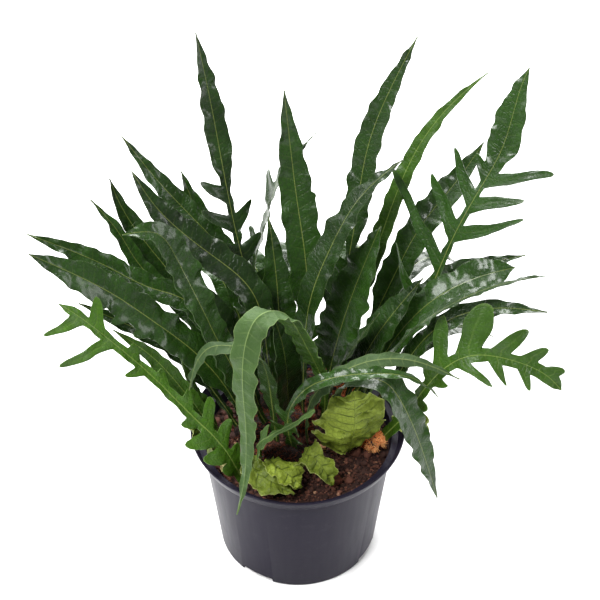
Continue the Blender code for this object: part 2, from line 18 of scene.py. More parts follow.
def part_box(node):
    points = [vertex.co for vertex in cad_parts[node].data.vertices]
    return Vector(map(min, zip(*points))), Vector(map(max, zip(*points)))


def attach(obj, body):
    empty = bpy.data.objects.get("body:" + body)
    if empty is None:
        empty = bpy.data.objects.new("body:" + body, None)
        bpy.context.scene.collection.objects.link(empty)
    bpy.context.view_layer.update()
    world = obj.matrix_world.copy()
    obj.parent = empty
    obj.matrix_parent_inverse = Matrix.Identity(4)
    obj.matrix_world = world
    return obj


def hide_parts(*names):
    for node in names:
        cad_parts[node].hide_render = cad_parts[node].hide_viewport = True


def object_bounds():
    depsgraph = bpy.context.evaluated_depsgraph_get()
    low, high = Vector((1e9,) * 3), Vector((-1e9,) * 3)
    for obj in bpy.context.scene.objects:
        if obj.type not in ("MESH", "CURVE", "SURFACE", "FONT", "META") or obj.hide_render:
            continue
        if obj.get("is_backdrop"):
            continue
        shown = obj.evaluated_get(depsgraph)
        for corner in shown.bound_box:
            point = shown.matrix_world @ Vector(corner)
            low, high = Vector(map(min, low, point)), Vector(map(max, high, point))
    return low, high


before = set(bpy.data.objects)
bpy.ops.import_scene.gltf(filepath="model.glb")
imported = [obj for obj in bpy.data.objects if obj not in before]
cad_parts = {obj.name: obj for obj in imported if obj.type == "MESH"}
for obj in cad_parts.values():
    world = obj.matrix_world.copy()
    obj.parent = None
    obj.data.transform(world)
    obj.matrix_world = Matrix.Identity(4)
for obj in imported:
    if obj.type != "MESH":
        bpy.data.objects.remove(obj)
cad_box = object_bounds()
noise.seed_set(1)  # so that the noise is the same each run

# --- The pot ---
# A thin nursery pot, injection moulded in black polypropylene with a violet cast. A stepped lip
# stiffens its rim, and four slots round its foot drain it. Its base rests on a narrow foot ring.

MM = 0.001
pot_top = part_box("pot")[1]
RIM_RADIUS = pot_top[0] / MM
POT_HEIGHT = pot_top[2] / MM
LIP_FOOT = POT_HEIGHT - 11.0
LIP_RADIUS = RIM_RADIUS - 4.0
WALL_TOP = LIP_RADIUS - 5.0  # the wall's radius where it meets the lip
FOOT_RADIUS = 64.5
WALL = 1.3
FLOOR = 1.6
FOOT_RING = 6.0  # width of the ring that the pot stands on
BASE_RECESS = 1.0  # how far the rest of the base is raised
DIMPLE = 0.4  # depth of the mould's dimple at the middle of the base
POT_ROUNDING = 0.22
DRAIN_SIZE = (18.0, 28.0, 10.0)  # across the foot, along it, and up; half of each way is in the pot
DRAIN_CORNER = 2.2
DRAIN_BEARINGS = (239, 333, 63, 153)  # degrees from +X


def linear(code):
    """An sRGB hex colour as a linear RGBA."""
    parts = [int(code[i : i + 2], 16) / 255 for i in (1, 3, 5)]
    return (*((p / 12.92) if p <= 0.04045 else ((p + 0.055) / 1.055) ** 2.4 for p in parts), 1.0)


def grains(size):
    """The scale of a texture whose grains are this many millimetres across."""
    return 1 / (size * MM)


def add_node(tree, kind, inputs=(), stops=(), out=0, **settings):
    """Adds a node with its settings, and gives its output, or several where out is a slice.

    inputs gives each socket a value or another node's output.
    """
    made = tree.nodes.new("ShaderNode" + kind)
    for key, value in settings.items():
        setattr(made, key, value)
    for number, (place, colour) in enumerate(stops):
        slots = made.color_ramp.elements
        stop = slots[number] if number < 2 else slots.new(place)
        stop.position = place
        stop.color = colour
    for key, value in dict(inputs).items():
        if isinstance(value, bpy.types.NodeSocket):
            tree.links.new(value, made.inputs[key])
        else:
            made.inputs[key].default_value = value
    return made.outputs[out]


def new_surface(name, **values):
    """A material with these values on its shader, what adds nodes to it, and its object space."""
    made = bpy.data.materials.new(name)
    made.use_nodes = True
    shader = made.node_tree.nodes["Principled BSDF"]
    for key, value in values.items():
        shader.inputs[key.replace("_", " ").title().replace("Ior", "IOR")].default_value = value
    node = functools.partial(add_node, made.node_tree)
    return made, node, node("TexCoord", out="Object")


def finish_surface(surface, colour, relief=None, strength=0.0, depth=0.0, rough=None):
    """Links the colour and, where they vary, a relief some millimetres deep and the roughness."""
    tree = surface.node_tree
    shader = tree.nodes["Principled BSDF"].inputs
    tree.links.new(colour, shader["Base Color"])
    if relief:
        heights = {"Strength": strength, "Distance": depth * MM, "Height": relief}
        tree.links.new(add_node(tree, "Bump", heights), shader["Normal"])
    if rough:
        tree.links.new(rough, shader["Roughness"])


def turn_on_axis(profile, steps):
    """A profile of radii and heights, in millimetres, spun closed about the pot's axis."""
    shape = bmesh.new()
    outline = [shape.verts.new((radius * MM, 0, height * MM)) for radius, height in profile]
    edges = [shape.edges.new(pair) for pair in zip(outline, outline[1:])]
    bmesh.ops.spin(
        shape, geom=outline + edges, cent=(0, 0, 0), axis=(0, 0, 1), angle=math.tau, steps=steps,
        use_merge=True,
    )
    bmesh.ops.remove_doubles(shape, verts=shape.verts, dist=0.001 * MM)
    bmesh.ops.recalc_face_normals(shape, faces=shape.faces)
    return shape


def round_edges(shape, edges, offset, segments=2, **settings):
    """Rounds these edges by this many millimetres."""
    bmesh.ops.bevel(
        shape, geom=edges, offset=offset * MM, offset_type="OFFSET", affect="EDGES",
        segments=segments, profile=0.5, material=-1, **settings,
    )


def new_object(name, data):
    made = bpy.data.objects.new(name, data)
    bpy.context.scene.collection.objects.link(made)
    return made


def new_shape(name, shape, surfaces=()):
    """The bmesh as an object of the scene, with these materials."""
    mesh = bpy.data.meshes.new(name)
    shape.to_mesh(mesh)
    shape.free()
    for surface in surfaces:
        mesh.materials.append(surface)
    return new_object(name, mesh)


def add_piece(name, shape, surfaces, stands_for, slot, sharp=40):
    """A smooth piece that rides on the frame; its edges past the sharp angle stay crisp."""
    piece = new_shape(name, shape, surfaces)
    piece.data.shade_smooth()
    piece.data.set_sharp_from_angle(angle=math.radians(sharp))
    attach(piece, "root")
    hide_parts(stands_for)
    return piece


def apply_modifiers(piece, sharp):
    """The piece keeps the mesh that its modifiers make, and loses them."""
    bpy.context.view_layer.update()
    graph = bpy.context.evaluated_depsgraph_get()
    finished = bpy.data.meshes.new_from_object(piece.evaluated_get(graph))
    piece.modifiers.clear()
    piece.data = finished
    finished.set_sharp_from_angle(angle=math.radians(sharp))


# Moulded polypropylene: a satin violet-black with soft highlights, upright drag marks from the
# mould, a faint orange peel, drawn coarser than it is so that it shows, and a little dried dust.
pot_plastic, node, spot = new_surface("moulded_polypropylene", ior=1.49, specular_ior_level=0.07)
upright = node("Mapping", {"Vector": spot, "Scale": (1, 1, 0.02)})
drag = node("TexNoise", {"Vector": upright, "Scale": grains(3.85), "Detail": 3.0})
broad = node("TexNoise", {"Vector": spot, "Scale": grains(45.5), "Detail": 4.0})
peel = node("TexNoise", {"Vector": spot, "Scale": grains(1.11), "Detail": 2.0})
dust = node("TexNoise", {"Vector": spot, "Scale": grains(14.3), "Detail": 8.0, "Roughness": 0.7})
dusty = node("ValToRGB", {0: dust}, stops=((0.56, (0, 0, 0, 1)), (0.8, (1, 1, 1, 1))))
dusted = node("Math", {0: dusty, 1: 0.12}, operation="MULTIPLY")
plain = node("Mix", {0: broad, 6: linear("#1b1824"), 7: linear("#23202d")}, data_type="RGBA", out=2)
tint = node("Mix", {0: dusted, 6: plain, 7: linear("#6d6a6c")}, data_type="RGBA", out=2)
rough = node(
    "MapRange", {0: drag, "From Min": 0.3, "From Max": 0.7, "To Min": 0.36, "To Max": 0.42}
)
rougher = node("Math", {0: dusted, 1: 0.9, 2: rough}, operation="MULTIPLY_ADD")
relief = node("Math", {0: drag, 1: 0.6, 2: peel}, operation="MULTIPLY_ADD")
finish_surface(pot_plastic, tint, relief, strength=0.25, depth=0.2, rough=rougher)

half_wall = WALL / 2
pot_profile = [
    (0, FLOOR),
    (FOOT_RADIUS - WALL, FLOOR),
    (WALL_TOP - WALL, LIP_FOOT + WALL),
    (LIP_RADIUS - WALL, LIP_FOOT + WALL),
    (RIM_RADIUS - WALL, POT_HEIGHT - half_wall),
    (RIM_RADIUS - half_wall - 0.2, POT_HEIGHT),
    (RIM_RADIUS - half_wall + 0.2, POT_HEIGHT),
    (RIM_RADIUS, POT_HEIGHT - half_wall),
    (RIM_RADIUS - 0.4, POT_HEIGHT - 2.2),
    (LIP_RADIUS + 0.1, LIP_FOOT + 0.6),
    (LIP_RADIUS - 0.4, LIP_FOOT),
    (WALL_TOP + 0.5, LIP_FOOT),
    (WALL_TOP - 0.05, LIP_FOOT - 1.0),
    (FOOT_RADIUS, 1.0),
    (FOOT_RADIUS - 1.0, 0),
    (FOOT_RADIUS - FOOT_RING, 0),
    (FOOT_RADIUS - FOOT_RING - 0.6, BASE_RECESS),
    (6, BASE_RECESS),
    (5, BASE_RECESS - DIMPLE),
    (0, BASE_RECESS - DIMPLE),
]
shape = turn_on_axis(pot_profile, steps=144)
creases = [
    edge
    for edge in shape.edges
    if edge.is_manifold and edge.calc_face_angle() > 0.3 and edge.verts[0].co.xy.length > 50 * MM
]
round_edges(shape, creases, POT_ROUNDING, clamp_overlap=True)
pot = add_piece("moulded_pot", shape, [pot_plastic], "pot", "pot_plastic", sharp=50)
cutters = []
for bearing in DRAIN_BEARINGS:
    shape = bmesh.new()
    bmesh.ops.create_cube(shape, size=MM)
    bmesh.ops.scale(shape, vec=DRAIN_SIZE, verts=shape.verts)
    corners = [edge for edge in shape.edges if abs(edge.verts[0].co.x - edge.verts[1].co.x) > MM]
    round_edges(shape, corners, DRAIN_CORNER, segments=5)
    turn = math.radians(bearing)
    outward = Vector((math.cos(turn), math.sin(turn), 0)) * FOOT_RADIUS * MM
    place = Matrix.Translation(outward) @ Matrix.Rotation(turn, 4, "Z")
    bmesh.ops.transform(shape, matrix=place, verts=shape.verts)
    cutters.append(new_shape("drain_cutter", shape))
    cut = pot.modifiers.new("drain", "BOOLEAN")
    cut.operation = "DIFFERENCE"
    cut.solver = "EXACT"
    cut.object = cutters[-1]
apply_modifiers(pot, sharp=50)
for cutter in cutters:
    bpy.data.objects.remove(cutter, do_unlink=True)

# --- The potting soil ---
# A root ball of peat and composted bark that keeps the pot's inner shape. Its top is loose: fine
# crumbs and a few larger clods, lying as they fell.

GAP = 0.4
SOIL_TOP = POT_HEIGHT - 18.0
SOIL_SLOPE = (WALL_TOP - FOOT_RADIUS) / LIP_FOOT
SOIL_RADIUS = FOOT_RADIUS + SOIL_SLOPE * SOIL_TOP - WALL - 2 * GAP
DRAIN_CLEAR = 5.4  # the root ball starts to taper here, above the drain slots
RING_STEP = 2.4
CROWN = 0.5  # how much higher the soil lies at its middle
CLEAR_OF_SOIL = SOIL_TOP + CROWN + GAP
LUMP_SPREAD = 14.0
LUMP_HEIGHT = 1.1
EDGE_DROP = 2.0  # how far the soil falls over the outer tenth of its radius
CRUMBS = (  # how many, and their least and greatest radius
    (4600, 0.5, 1.5),
    (700, 1.5, 2.6),
    (60, 2.6, 4.4),
)
CLOD = 2.6  # from this radius on, a crumb has more faces
CRUMB_TONES = (0.0, 0.08, 0.16, 0.26, 0.36, 0.46)
BATCH = 80  # how many crumbs are made at a time

# Moist peat: nearly black between the crumbs, red-brown on them, and a few tan bits of bark.
soil, node, spot = new_surface("peat_and_composted_bark", roughness=0.85, ior=1.4)
tone = node("Attribute", attribute_name="tone", out="Fac")
grain = node("TexNoise", {"Vector": spot, "Scale": grains(2.38), "Detail": 6.0, "Roughness": 0.7})
patch = node("TexNoise", {"Vector": spot, "Scale": grains(16.7), "Detail": 3.0})
mixed = node("Math", {0: grain, 1: 0.35, 2: tone}, operation="MULTIPLY_ADD")
colour = node(
    "ValToRGB", {0: mixed},
    stops=(
        (0.0, linear("#170d0b")), (0.3, linear("#3f261e")), (0.55, linear("#6c4334")),
        (0.8, linear("#936350")), (1.0, linear("#b98f70")),
    ),
)
damp = node("MapRange", {0: patch, "From Min": 0.35, "From Max": 0.65})
shade = node("Mix", {0: damp, 6: (0.55, 0.5, 0.5, 1), 7: (1, 1, 1, 1)}, data_type="RGBA", out=2)
tint = node("Mix", {0: 1.0, 6: colour, 7: shade}, data_type="RGBA", blend_type="MULTIPLY", out=2)
finish_surface(soil, tint, grain, strength=0.8, depth=0.6)


def ground(x, y):
    """How high the loose soil lies at a spot, in millimetres."""
    away = min(1.0, math.hypot(x, y) / SOIL_RADIUS)
    lumps = noise.fractal(Vector((x / LUMP_SPREAD, y / LUMP_SPREAD, 3)), 0.8, 2.1, 4)
    drop = EDGE_DROP * max(0.0, away - 0.9) * 10
    return SOIL_TOP + CROWN * (1 - away) + LUMP_HEIGHT * lumps - drop


rings = [0, *np.arange(RING_STEP, SOIL_RADIUS, RING_STEP), SOIL_RADIUS]
low = FLOOR + GAP
sides = [
    (SOIL_RADIUS - SOIL_SLOPE * (SOIL_TOP - DRAIN_CLEAR), DRAIN_CLEAR),
    (FOOT_RADIUS - WALL - 4, low),
    (0, low),
]
shape = turn_on_axis([(radius, SOIL_TOP) for radius in rings] + sides, steps=120)
tone_layer = shape.verts.layers.float.new("tone")
for vert in shape.verts:
    vert[tone_layer] = 0.1
    if vert.co.z > (SOIL_TOP - 1) * MM:
        vert.co.z = ground(vert.co.x / MM, vert.co.y / MM) * MM
chance = random.Random("soil")
sizes = [chance.uniform(least, most) for count, least, most in CRUMBS for _ in range(count)]
handful = bpy.data.meshes.new("handful")
for first in range(0, len(sizes), BATCH):
    batch = bmesh.new()
    batch_tone = batch.verts.layers.float.new("tone")
    for radius in sizes[first : first + BATCH]:
        away = (SOIL_RADIUS - radius - 0.6) * math.sqrt(chance.random())
        bearing = chance.uniform(0, math.tau)
        x, y = away * math.cos(bearing), away * math.sin(bearing)
        width, height = radius * chance.uniform(0.6, 1), radius * chance.uniform(0.5, 0.9)
        turn = Matrix.Rotation(chance.uniform(0, math.tau), 4, chance.choice("XYZ"))
        place = Matrix.Translation(Vector((x, y, ground(x, y) + 0.35 * radius)) * MM)
        made = bmesh.ops.create_icosphere(
            batch, subdivisions=1 if radius < CLOD else 2, radius=MM,
            matrix=place @ turn @ Matrix.Diagonal((radius, width, height, 1)),
        )
        shade = chance.choice(CRUMB_TONES) + (0.35 if chance.random() < 0.02 else 0)
        for vert in made["verts"]:
            vert.co += noise.noise_vector(vert.co * 900) * 0.22 * radius * MM
            vert[batch_tone] = shade
    batch.to_mesh(handful)
    batch.free()
    shape.from_mesh(handful)
bpy.data.meshes.remove(handful)
add_piece("loose_potting_soil", shape, [soil], "potting_soil", "potting_soil", sharp=60)

# --- The rhizomes ---
# The fern's creeping stems lie on the soil. Each is a finger-thick rod hidden under papery,
# curling scales, rust brown at their feet and pale gold at their tips, densest at the growing end.

RHIZOME_RADIUS = 8.5
RHIZOME_MIDDLE = CLEAR_OF_SOIL + RHIZOME_RADIUS
ROD_STEPS = 100
ROD_TONE = -0.2
SCALES = 1500
SCALE_LENGTH = (2.6, 5.2)
SCALE_WIDTH = 0.34  # radius of a scale's foot
SCALE_CURL = 3.2  # how far apart along a scale it curls one way and the other
FRESH_TIPS = {"rhizome_right": 1.1, "rhizome_far": 0.5, "rhizome_back": 0.3}  # how pale it ends
RHIZOMES = {
    "rhizome_far": [(-34, 52), (-12, 57), (20, 58), (48, 50)],
    "rhizome_back": [(-42, 26), (-20, 34), (6, 38), (28, 32), (46, 24)],
    "rhizome_middle": [(-50, -4), (-30, 6), (-8, 12), (12, 8)],
    "rhizome_right": [(24, 4), (38, 4), (52, -4), (64, -18)],
    "rhizome_front": [(14, -22), (2, -24), (-14, -27), (-34, -34)],
}

# Papery scales: dry and matt, rust brown shading to pale gold where they fray.
scales, node, spot = new_surface("dry_papery_scales", roughness=0.75, ior=1.45)
tone = node("Attribute", attribute_name="tone", out="Fac")
streak = node("TexNoise", {"Vector": spot, "Scale": grains(2.63), "Detail": 5.0})
mixed = node("Math", {0: streak, 1: 0.3, 2: tone}, operation="MULTIPLY_ADD")
colour = node(
    "ValToRGB", {0: mixed},
    stops=(
        (0.0, linear("#1c0f0a")), (0.25, linear("#351a10")), (0.5, linear("#96471f")),
        (0.75, linear("#d4813f")), (1.0, linear("#efae70")),
    ),
)
finish_surface(scales, colour, streak, strength=0.6, depth=0.4)


def spine_of(points, places):
    """The spots at these fractions of the smooth line through the points, and its length."""
    knots = np.asarray(points, float)
    last = len(knots) - 1
    steps = np.linalg.norm(np.diff(knots, axis=0), axis=1) ** 0.6
    chord = np.concatenate([[0], np.cumsum(steps)])
    matrix = np.eye(last + 1)
    known = np.zeros((last + 1, 3))
    for i in range(1, last):
        before, after = steps[i - 1], steps[i]
        matrix[i, i - 1 : i + 2] = before, 2 * (before + after), after
        known[i] = 6 * ((knots[i + 1] - knots[i]) / after - (knots[i] - knots[i - 1]) / before)
    bend = np.linalg.solve(matrix, known)
    along = np.linspace(0, chord[-1], 300)
    span = np.clip(np.searchsorted(chord, along) - 1, 0, last - 1)
    width = steps[span][:, None]
    to_end = (chord[span + 1] - along)[:, None]
    from_start = (along - chord[span])[:, None]
    curve = (bend[span] * to_end**3 + bend[span + 1] * from_start**3) / (6 * width)
    curve += (knots[span] / width - bend[span] * width / 6) * to_end
    curve += (knots[span + 1] / width - bend[span + 1] * width / 6) * from_start
    run = np.concatenate([[0], np.cumsum(np.linalg.norm(np.diff(curve, axis=0), axis=1))])
    wanted = np.asarray(places) * run[-1]
    found = [np.interp(wanted, run, curve[:, axis]) for axis in range(3)]
    return np.stack(found, axis=1), run[-1]


def rhizome_line(route, places):
    return spine_of([(x, y, RHIZOME_MIDDLE) for x, y in route], places)[0]


for name, route in RHIZOMES.items():
    chance = random.Random(name)
    line = rhizome_line(route, np.linspace(0, 1, ROD_STEPS + 1))

    def on_rod(place, bearing, lift=0.0):
        """A point on the rod, and the directions out from it and along it."""
        reach = place * ROD_STEPS
        step = min(ROD_STEPS - 1, int(reach))
        middle = Vector(line[step]) * (1 - reach + step) + Vector(line[step + 1]) * (reach - step)
        along = Vector(line[step + 1] - line[step]).normalized()
        across = along.cross(Vector((0, 0, 1))).normalized()
        out = across * math.cos(bearing) + Vector((0, 0, 1)) * math.sin(bearing)
        ends = max(0.0, 1 - abs(2 * place - 1) ** 7) ** 0.5
        radius = (RHIZOME_RADIUS - 1.2) * ends * (1 + 0.12 * noise.noise(middle / 9 + out))
        return middle + out * (radius + lift), out, along

    shape = bmesh.new()
    tone_layer = shape.verts.layers.float.new("tone")
    bmesh.ops.create_uvsphere(shape, u_segments=28, v_segments=40, radius=1)
    for vert in shape.verts:
        bearing = math.atan2(vert.co.y, vert.co.x)
        vert.co = on_rod(math.acos(max(-1, min(1, vert.co.z))) / math.pi, bearing)[0] * MM
        vert[tone_layer] = ROD_TONE
    for _ in range(SCALES):
        place = 1 - chance.random() ** 1.5
        foot, out, along = on_rod(place * 0.98 + 0.01, chance.uniform(-0.6, math.pi + 0.6), -0.4)
        length = chance.uniform(*SCALE_LENGTH)
        aim = out * chance.uniform(0.35, 0.9) + along * chance.uniform(-0.3, 1.0)
        aim += Vector([chance.uniform(-0.5, 0.5) for _ in range(3)])
        turn = aim.to_track_quat("Z", "X").to_matrix().to_4x4()
        spin = Matrix.Rotation(chance.uniform(0, math.tau), 4, "Z")
        middle = foot + aim.normalized() * length / 2
        made = bmesh.ops.create_cone(
            shape, cap_ends=True, cap_tris=True, segments=3, radius1=SCALE_WIDTH * MM,
            radius2=0.05 * MM, depth=length * MM,
            matrix=Matrix.Translation(middle * MM) @ turn @ spin,
        )
        pale = chance.uniform(-0.2, 0.12) + FRESH_TIPS.get(name, 0.1) * place**4
        for vert in made["verts"]:
            outer = (vert.co / MM - middle).dot(aim) > 0
            vert[tone_layer] = pale + (0.25 if outer else 0.0)
    long_edges = [
        edge
        for edge in shape.edges
        if edge.is_manifold and edge.calc_length() > 2.4 * MM and len(edge.link_faces[0].verts) <= 4
    ]
    hairs = [e for e in long_edges if e.verts[0][tone_layer] != e.verts[1][tone_layer]]
    bmesh.ops.subdivide_edges(shape, edges=hairs, cuts=2)
    bmesh.ops.recalc_face_normals(shape, faces=shape.faces)
    for vert in shape.verts:
        if vert[tone_layer] > ROD_TONE:
            vert.co += noise.noise_vector(vert.co / (SCALE_CURL * MM)) * 0.9 * MM
    add_piece(name + "_scales", shape, [scales], name, "rhizome_scales", sharp=60)

# --- The cut stub ---
# What is left of a frond that was cut off low: a short pale stalk on the front rhizome, dried at
# its cut, where a sunken face is left inside a thin rim.

STUB_START, STUB_END, STUB_RADIUS = Vector((-49, -34, 109.5)), Vector((-58.5, -39.5, 112)), 3.3

# Dried stalk: straw green with brown patches, ribbed along its length.
stalk, node, spot = new_surface("dried_frond_stalk", roughness=0.7, ior=1.45)
lengthwise = node(
    "Mapping", {"Vector": spot, "Rotation": (0, 0, math.radians(-30)), "Scale": (0.1, 1, 1)}
)
fibre = node("TexNoise", {"Vector": lengthwise, "Scale": grains(1.43), "Detail": 4.0})
blotch = node("TexNoise", {"Vector": spot, "Scale": grains(4.17), "Detail": 3.0})
mixed = node("Math", {0: fibre, 1: 0.6, 2: blotch}, operation="MULTIPLY_ADD")
colour = node(
    "ValToRGB", {0: mixed},
    stops=((0.5, linear("#5a4526")), (0.75, linear("#8f8a4e")), (1.0, linear("#b7b07a"))),
)
finish_surface(stalk, colour, fibre, strength=0.5, depth=0.3)

shape = bmesh.new()
span = STUB_END - STUB_START
aim = span.to_track_quat("Z", "Y").to_matrix().to_4x4()
bmesh.ops.create_cone(
    shape, cap_ends=True, segments=24, radius1=STUB_RADIUS * MM, radius2=0.88 * STUB_RADIUS * MM,
    depth=span.length * MM,
)
top = max(shape.faces, key=lambda face: face.calc_center_median().z)
bmesh.ops.inset_region(shape, faces=[top], thickness=0.5 * MM, depth=0.25 * MM)
bmesh.ops.inset_region(shape, faces=[top], thickness=1.2 * MM, depth=-0.5 * MM)
rims = [edge for edge in shape.edges if edge.calc_face_angle(0) > 0.6]
round_edges(shape, rims, 0.2)
long_edges = [edge for edge in shape.edges if edge.calc_length() > 5 * MM]
bmesh.ops.subdivide_edges(shape, edges=long_edges, cuts=8, use_grid_fill=True)
for vert in shape.verts:
    vert.co += vert.co.xyz.normalized() * 0.25 * MM * noise.noise(vert.co * 500)
place = Matrix.Translation((STUB_START + STUB_END) / 2 * MM)
bmesh.ops.transform(shape, matrix=place @ aim, verts=shape.verts)
add_piece("cut_frond_stub", shape, [stalk], "cut_stub", "cut_stalk", sharp=50)

# --- The old fronds ---
# Leathery straps that grow from the rhizomes on stiff midribs and arch out. Some are whole, others
# cut into leaning lobes. Their margins ripple, and the leaf between its side veins is puckered.

BLADE = 0.45  # thickness of the leaf
RIB_THICKNESS = (2.0, 1.1, 0.7)  # of the midrib at the root, at RIB_THINS and at the tip
RIB_THINS = 0.4
THICKEST = 2.4
BELOW = -0.45  # more of the thickness lies on the underside
WING = 3.2  # half width of the leafy wing along the lobed stretch
LOBE_HALF_BASE = 7.0  # along the midrib, from a lobe's axis to the notch beside it
LOBE_LEAN = 0.75  # how far a lobe leans towards the tip, per millimetre of its reach
LOBE_POWER = 2.5  # over 1 rounds a lobe's sides
LOBE_BEND = 0.004  # how far a lobe may arch out of the blade, per square millimetre of its reach
LOBE_CURL = 0.004  # and how far it may curve within it
LOBE_WAVE = 0.9  # height of the waves along a lobe, once it reaches WAVE_FULL beyond the blade
WAVE_FULL = 12.0
WAVE_UP, WAVE_ALONG = 4.5, 5.5  # lengths of its waves out of the blade and within it, over tau
FOLD = 0.16  # how far the margins rise above the midrib, per millimetre of half width
TWIST = 0.07
ROOT_PART = 0.12  # part of the length over which the root's width turns into the wing's
RISE_PART = 0.12  # part of the length over which the wing widens to the full blade
TIP_POWER = 1.7
TIP_HALF = 0.5
ROOT_REACH = 3.4
ROOT_TILT = 0.35
SURGE_LENGTH = 21.0  # how far apart along a frond its ripples swell and die down
CRUMPLE_SIZE = 13.0
TONES = 0.55  # how much fresher the freshest frond is than the dullest
ROW_STEP = 1.8
COLUMNS = 8  # faces across each side of the midrib
RIB_HALF = 0.6
SHOULDER_HALF = 1.4  # where the midrib has run out into the blade
VEIN_SPACING = 9.0


def leaf_surface(name, greens, rib, margin, shine, relief, rib_part, vein_part, **values):
    """A leaf's skin: mottled between two greens, with its midrib, side veins, net and margin.

    The mottling's grains are 26 mm; the cells between the small veins are drawn at 3.5 mm and the
    leaf's own grain at 1.9 mm, both coarser than they are, so that they show.
    """
    surface, node, spot = new_surface(name, **values)
    deep, fresh = (linear(green) for green in greens)
    leaf = node("Attribute", attribute_name="leaf", out="Vector")
    across, edge, tone = node("SeparateXYZ", {0: leaf}, out=slice(3))
    blade = node("UVMap", uv_map="blade")
    place, vein = node("SeparateXYZ", {0: blade}, out=slice(2))
    mottle = node(
        "TexNoise", {"Vector": spot, "Scale": grains(26.3), "Detail": 5.0, "Roughness": 0.6}
    )
    grain = node("TexNoise", {"Vector": spot, "Scale": grains(1.92), "Detail": 3.0})
    cells = node(
        "TexVoronoi", {"Vector": spot, "Scale": grains(3.45), "Randomness": 1.0},
        feature="DISTANCE_TO_EDGE", out="Distance",
    )
    widen = node("Math", {0: place, 1: 0.9, 2: 0.6}, operation="MULTIPLY_ADD")
    from_rib = node("Math", {0: across, 1: widen}, operation="MULTIPLY")
    from_vein = node("Math", {0: vein, 1: 0.5}, operation="PINGPONG")
    net, on_rib, on_vein = (
        node(
            "MapRange",
            {0: away, "From Min": full, "From Max": gone, "To Min": 1.0, "To Max": 0.0},
            interpolation_type="SMOOTHSTEP",
        )
        for away, full, gone in ((cells, 0.02, 0.2), (from_rib, 0.2, 0.5), (from_vein, 0.02, 0.09))
    )
    fading = node(
        "MapRange", {0: edge, "From Min": 0.2, "From Max": 0.95, "To Min": 1.0, "To Max": 0.1}
    )
    side_vein = node("Math", {0: on_vein, 1: fading}, operation="MULTIPLY")
    mix = node("Math", {0: mottle, 1: 1.1, 2: tone}, operation="MULTIPLY_ADD")
    mixed = node("MapRange", {0: mix, "From Min": 0.35, "From Max": 1.3})
    strong = node("MapRange", {0: place, "To Min": rib_part, "To Max": 0.45 * rib_part})
    netted, veined, ribbed = (
        node("Math", {0: where, 1: part}, operation="MULTIPLY")
        for where, part in ((net, 0.22), (side_vein, vein_part), (on_rib, strong))
    )
    at_edge = node("MapRange", {0: edge, "From Min": 0.95, "From Max": 1.0, "To Max": 0.4})
    skin = node("Mix", {0: mixed, 6: deep, 7: fresh}, data_type="RGBA", out=2)
    # Where the rib colour is dark, as on the base leaf, the midrib and side veins are painted shade
    # in the leaf's creases.
    for part, colour in (
        (netted, deep), (veined, linear(rib)), (at_edge, linear(margin)), (ribbed, linear(rib))
    ):
        skin = node("Mix", {0: part, 6: skin, 7: colour}, data_type="RGBA", out=2)
    rough = node(
        "MapRange",
        {0: mottle, "From Min": 0.3, "From Max": 0.7, "To Min": shine, "To Max": shine + 0.16},
    )
    height = node("Math", {0: net, 1: -0.5, 2: grain}, operation="MULTIPLY_ADD")
    height = node("Math", {0: side_vein, 1: -0.35, 2: height}, operation="MULTIPLY_ADD")
    finish_surface(surface, skin, height, strength=relief, depth=0.4, rough=rough)
    return surface


# Old leaf, upper side: a thick waxy cuticle over deep blue-green; the midrib is a fine pale line.
old_upper = leaf_surface(
    "waxed_leather_leaf_upper", ("#0b1b04", "#294a11"), "#87914a", "#43572a", 0.3, 0.9, 0.7, 0.04,
    specular_ior_level=0.22, coat_weight=0.4, coat_roughness=0.18, coat_ior=1.45, ior=1.45,
)
# Old leaf, underside: matt grey-green, with a stronger pale rib and raised side veins.
old_under = leaf_surface(
    "matt_leaf_underside", ("#293c21", "#415532"), "#838f55", "#74824f", 0.5, 0.4, 0.65, 0.12,
    specular_ior_level=0.15, ior=1.4,
)


def frond(
    points, width, left=(), right=(), bare=0.25, taper=0.55, roll=(0, 0), base=2.6, wing=WING
):
    """One frond's design, in millimetres; places along the midrib run from 0 at the root to 1.

    points   where the midrib runs; the root's height follows from what it grows on
    width    of its unlobed upper part, from margin to margin
    left     the left side's lobes: place, reach from the midrib, and half base where that isn't
             LOBE_HALF_BASE
    right    the right side's lobes
    bare     the part of its length, from the root, that is only midrib and wing
    taper    where it starts to narrow towards the tip
    roll     turn about the midrib in degrees, at the root and at the tip
    base     half width at the root
    wing     half width along the lobed stretch
    """
    return locals()


def frame_along(points, roll, places):
    """Centre, direction, sideways and upper-face vectors of the midrib at these places."""
    nudge = 0.002
    centre, _ = spine_of(points, places)
    ahead, _ = spine_of(points, np.clip(places + nudge, 0, 1))
    behind, _ = spine_of(points, np.clip(places - nudge, 0, 1))
    direction = ahead - behind
    direction /= np.linalg.norm(direction, axis=1)[:, None]
    heading = np.subtract(points[-1], points[0])
    level = np.array([heading[1], -heading[0], 0.0])
    side = level - (direction @ level)[:, None] * direction
    side /= np.linalg.norm(side, axis=1)[:, None]
    face = np.cross(side, direction)
    turn = np.radians(np.interp(places, (0, 1), roll))[:, None]
    turned_side = side * np.cos(turn) + face * np.sin(turn)
    turned_face = face * np.cos(turn) - side * np.sin(turn)
    return centre, direction, turned_side, turned_face


def seat_height(x, y):
    """How high a frond that grows from this spot starts: just over a rhizome, or over the soil."""
    height = CLEAR_OF_SOIL
    for route in RHIZOMES.values():
        line = rhizome_line(route, np.linspace(0, 1, 80))
        away = np.linalg.norm(line[:, :2] - np.array((x, y)), axis=1).min() - ROOT_REACH
        if away < RHIZOME_RADIUS:
            rise = math.sqrt(RHIZOME_RADIUS**2 - max(0.0, away) ** 2)
            height = max(height, RHIZOME_MIDDLE + rise + GAP)
    return height


